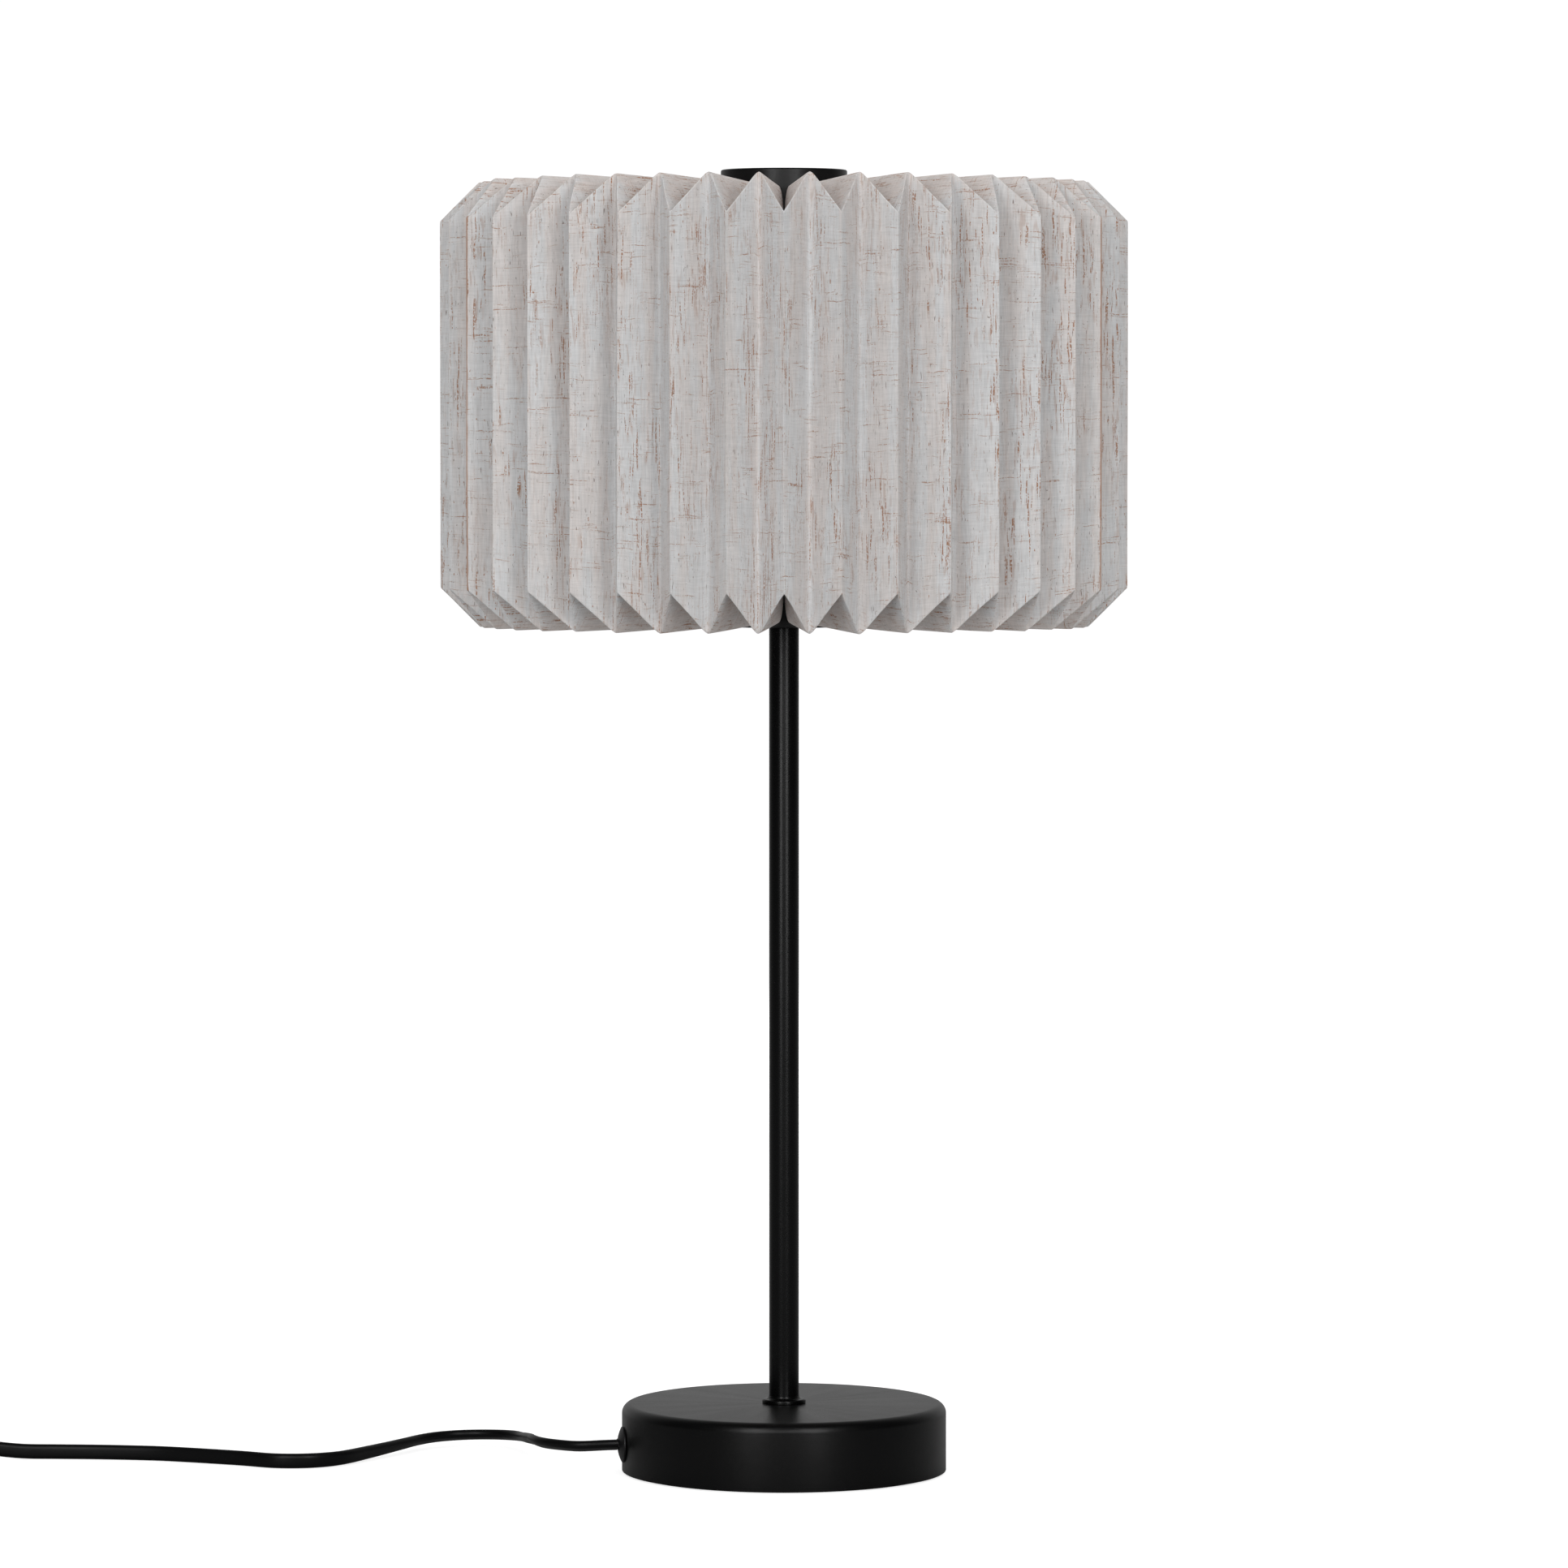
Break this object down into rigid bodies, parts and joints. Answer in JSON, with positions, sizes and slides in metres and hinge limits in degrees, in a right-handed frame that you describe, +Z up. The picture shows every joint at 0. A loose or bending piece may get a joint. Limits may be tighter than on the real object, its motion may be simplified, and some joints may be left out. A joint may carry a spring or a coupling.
{
  "type": "table lamp",
  "caption": "Table lamp with a round weighted foot, a slim stem, a screw lampholder and a pleated cloth drum shade, with a corded in-line switch and plug.",
  "frame": {"origin": "middle of the foot's underside, on the table", "axes": "+Z up along the stem, -Y towards the viewer of the front, +X to that viewer's right; the cord leaves the foot towards -X"},
  "size_m": [0.6878, 0.2995, 0.5685],
  "materials": {
    "foot_paint": "fine-textured matt black powder coat",
    "stem_paint": "satin black paint",
    "collar_paint": "satin black paint, brighter on the rolled edge",
    "cast_weight": "rough cast",
    "plate_steel": "plain sheet",
    "zinc_steel": "zinc plated",
    "foot_pad": "foam sheet",
    "thread_brass": "turned, plain",
    "contact_brass": "pressed sheet",
    "gland_plastic": "satin moulded nylon",
    "holder_plastic": "satin moulded thermoset",
    "steatite": "unglazed pressed steatite",
    "shade_cloth": "stiffened linen look with short slubs",
    "bulb_glass": "inside frosted",
    "bulb_cap_metal": "rolled thread, satin",
    "bulb_base_glass": "black vitrite",
    "solder": "tin-coloured",
    "cord_sheath": "smooth soft sheath",
    "core_insulation": "smooth",
    "tie_rubber": "satin",
    "switch_plastic": "fine spark-eroded texture",
    "rocker_plastic": "polished",
    "plug_plastic": "satin moulded",
    "pin_nickel": "nickel plated"
  },
  "bodies": {
    "lamp": {"base_shell": "foot_paint", "base_weight": "cast_weight", "base_plate": "plate_steel", "base_pad": "foot_pad", "lower_washer": "zinc_steel", "lower_nut": "thread_brass", "lower_nipple": "thread_brass", "foot_collar": "stem_paint", "cord_gland": "gland_plastic", "stem_tube": "stem_paint", "stem_ferrule": "stem_paint", "upper_nipple": "thread_brass", "cord_inner": "cord_sheath", "cord_cores": "core_insulation", "holder_cap": "holder_plastic", "holder_body": "holder_plastic", "holder_insulator": "steatite", "screw_shell": "contact_brass", "centre_contact": "contact_brass", "terminal_screws": "contact_brass", "low_collar": "collar_paint", "top_collar": "collar_paint", "shade_front": "shade_cloth", "shade_back": "shade_cloth", "cord_run": "cord_sheath", "cord_lead": "cord_sheath", "cord_coil": "cord_sheath", "cord_tail": "cord_sheath", "coil_tie": "tie_rubber", "switch_lower": "switch_plastic", "switch_upper": "switch_plastic", "switch_terminals": "contact_brass", "switch_screws": "zinc_steel", "plug_sleeve": "plug_plastic", "plug_body": "plug_plastic", "plug_pins": "pin_nickel"},
    "clamp_ring": {"shade_ring": "holder_plastic"},
    "bulb": {"bulb_globe": "bulb_glass", "bulb_cap": "bulb_cap_metal", "bulb_insulator": "bulb_base_glass", "bulb_contact": "solder"},
    "rocker": {"switch_rocker": "rocker_plastic"}
  },
  "joints": [
    {"name": "ring_turn", "type": "hinge", "parent": "lamp", "child": "clamp_ring", "pos_m": [0, 0, 0.4], "axis": [0, 0, 1], "range_deg": [0, 360]},
    {"name": "bulb_turn", "type": "hinge", "parent": "lamp", "child": "bulb", "pos_m": [0, 0, 0.42], "axis": [0, 0, 1], "range_deg": [0, 360]},
    {"name": "rocker_tip", "type": "hinge", "parent": "lamp", "child": "rocker", "pos_m": [-0.409, 0.036, 0.0122], "axis": [0, 1, 0], "range_deg": [0, 16]}
  ]
}
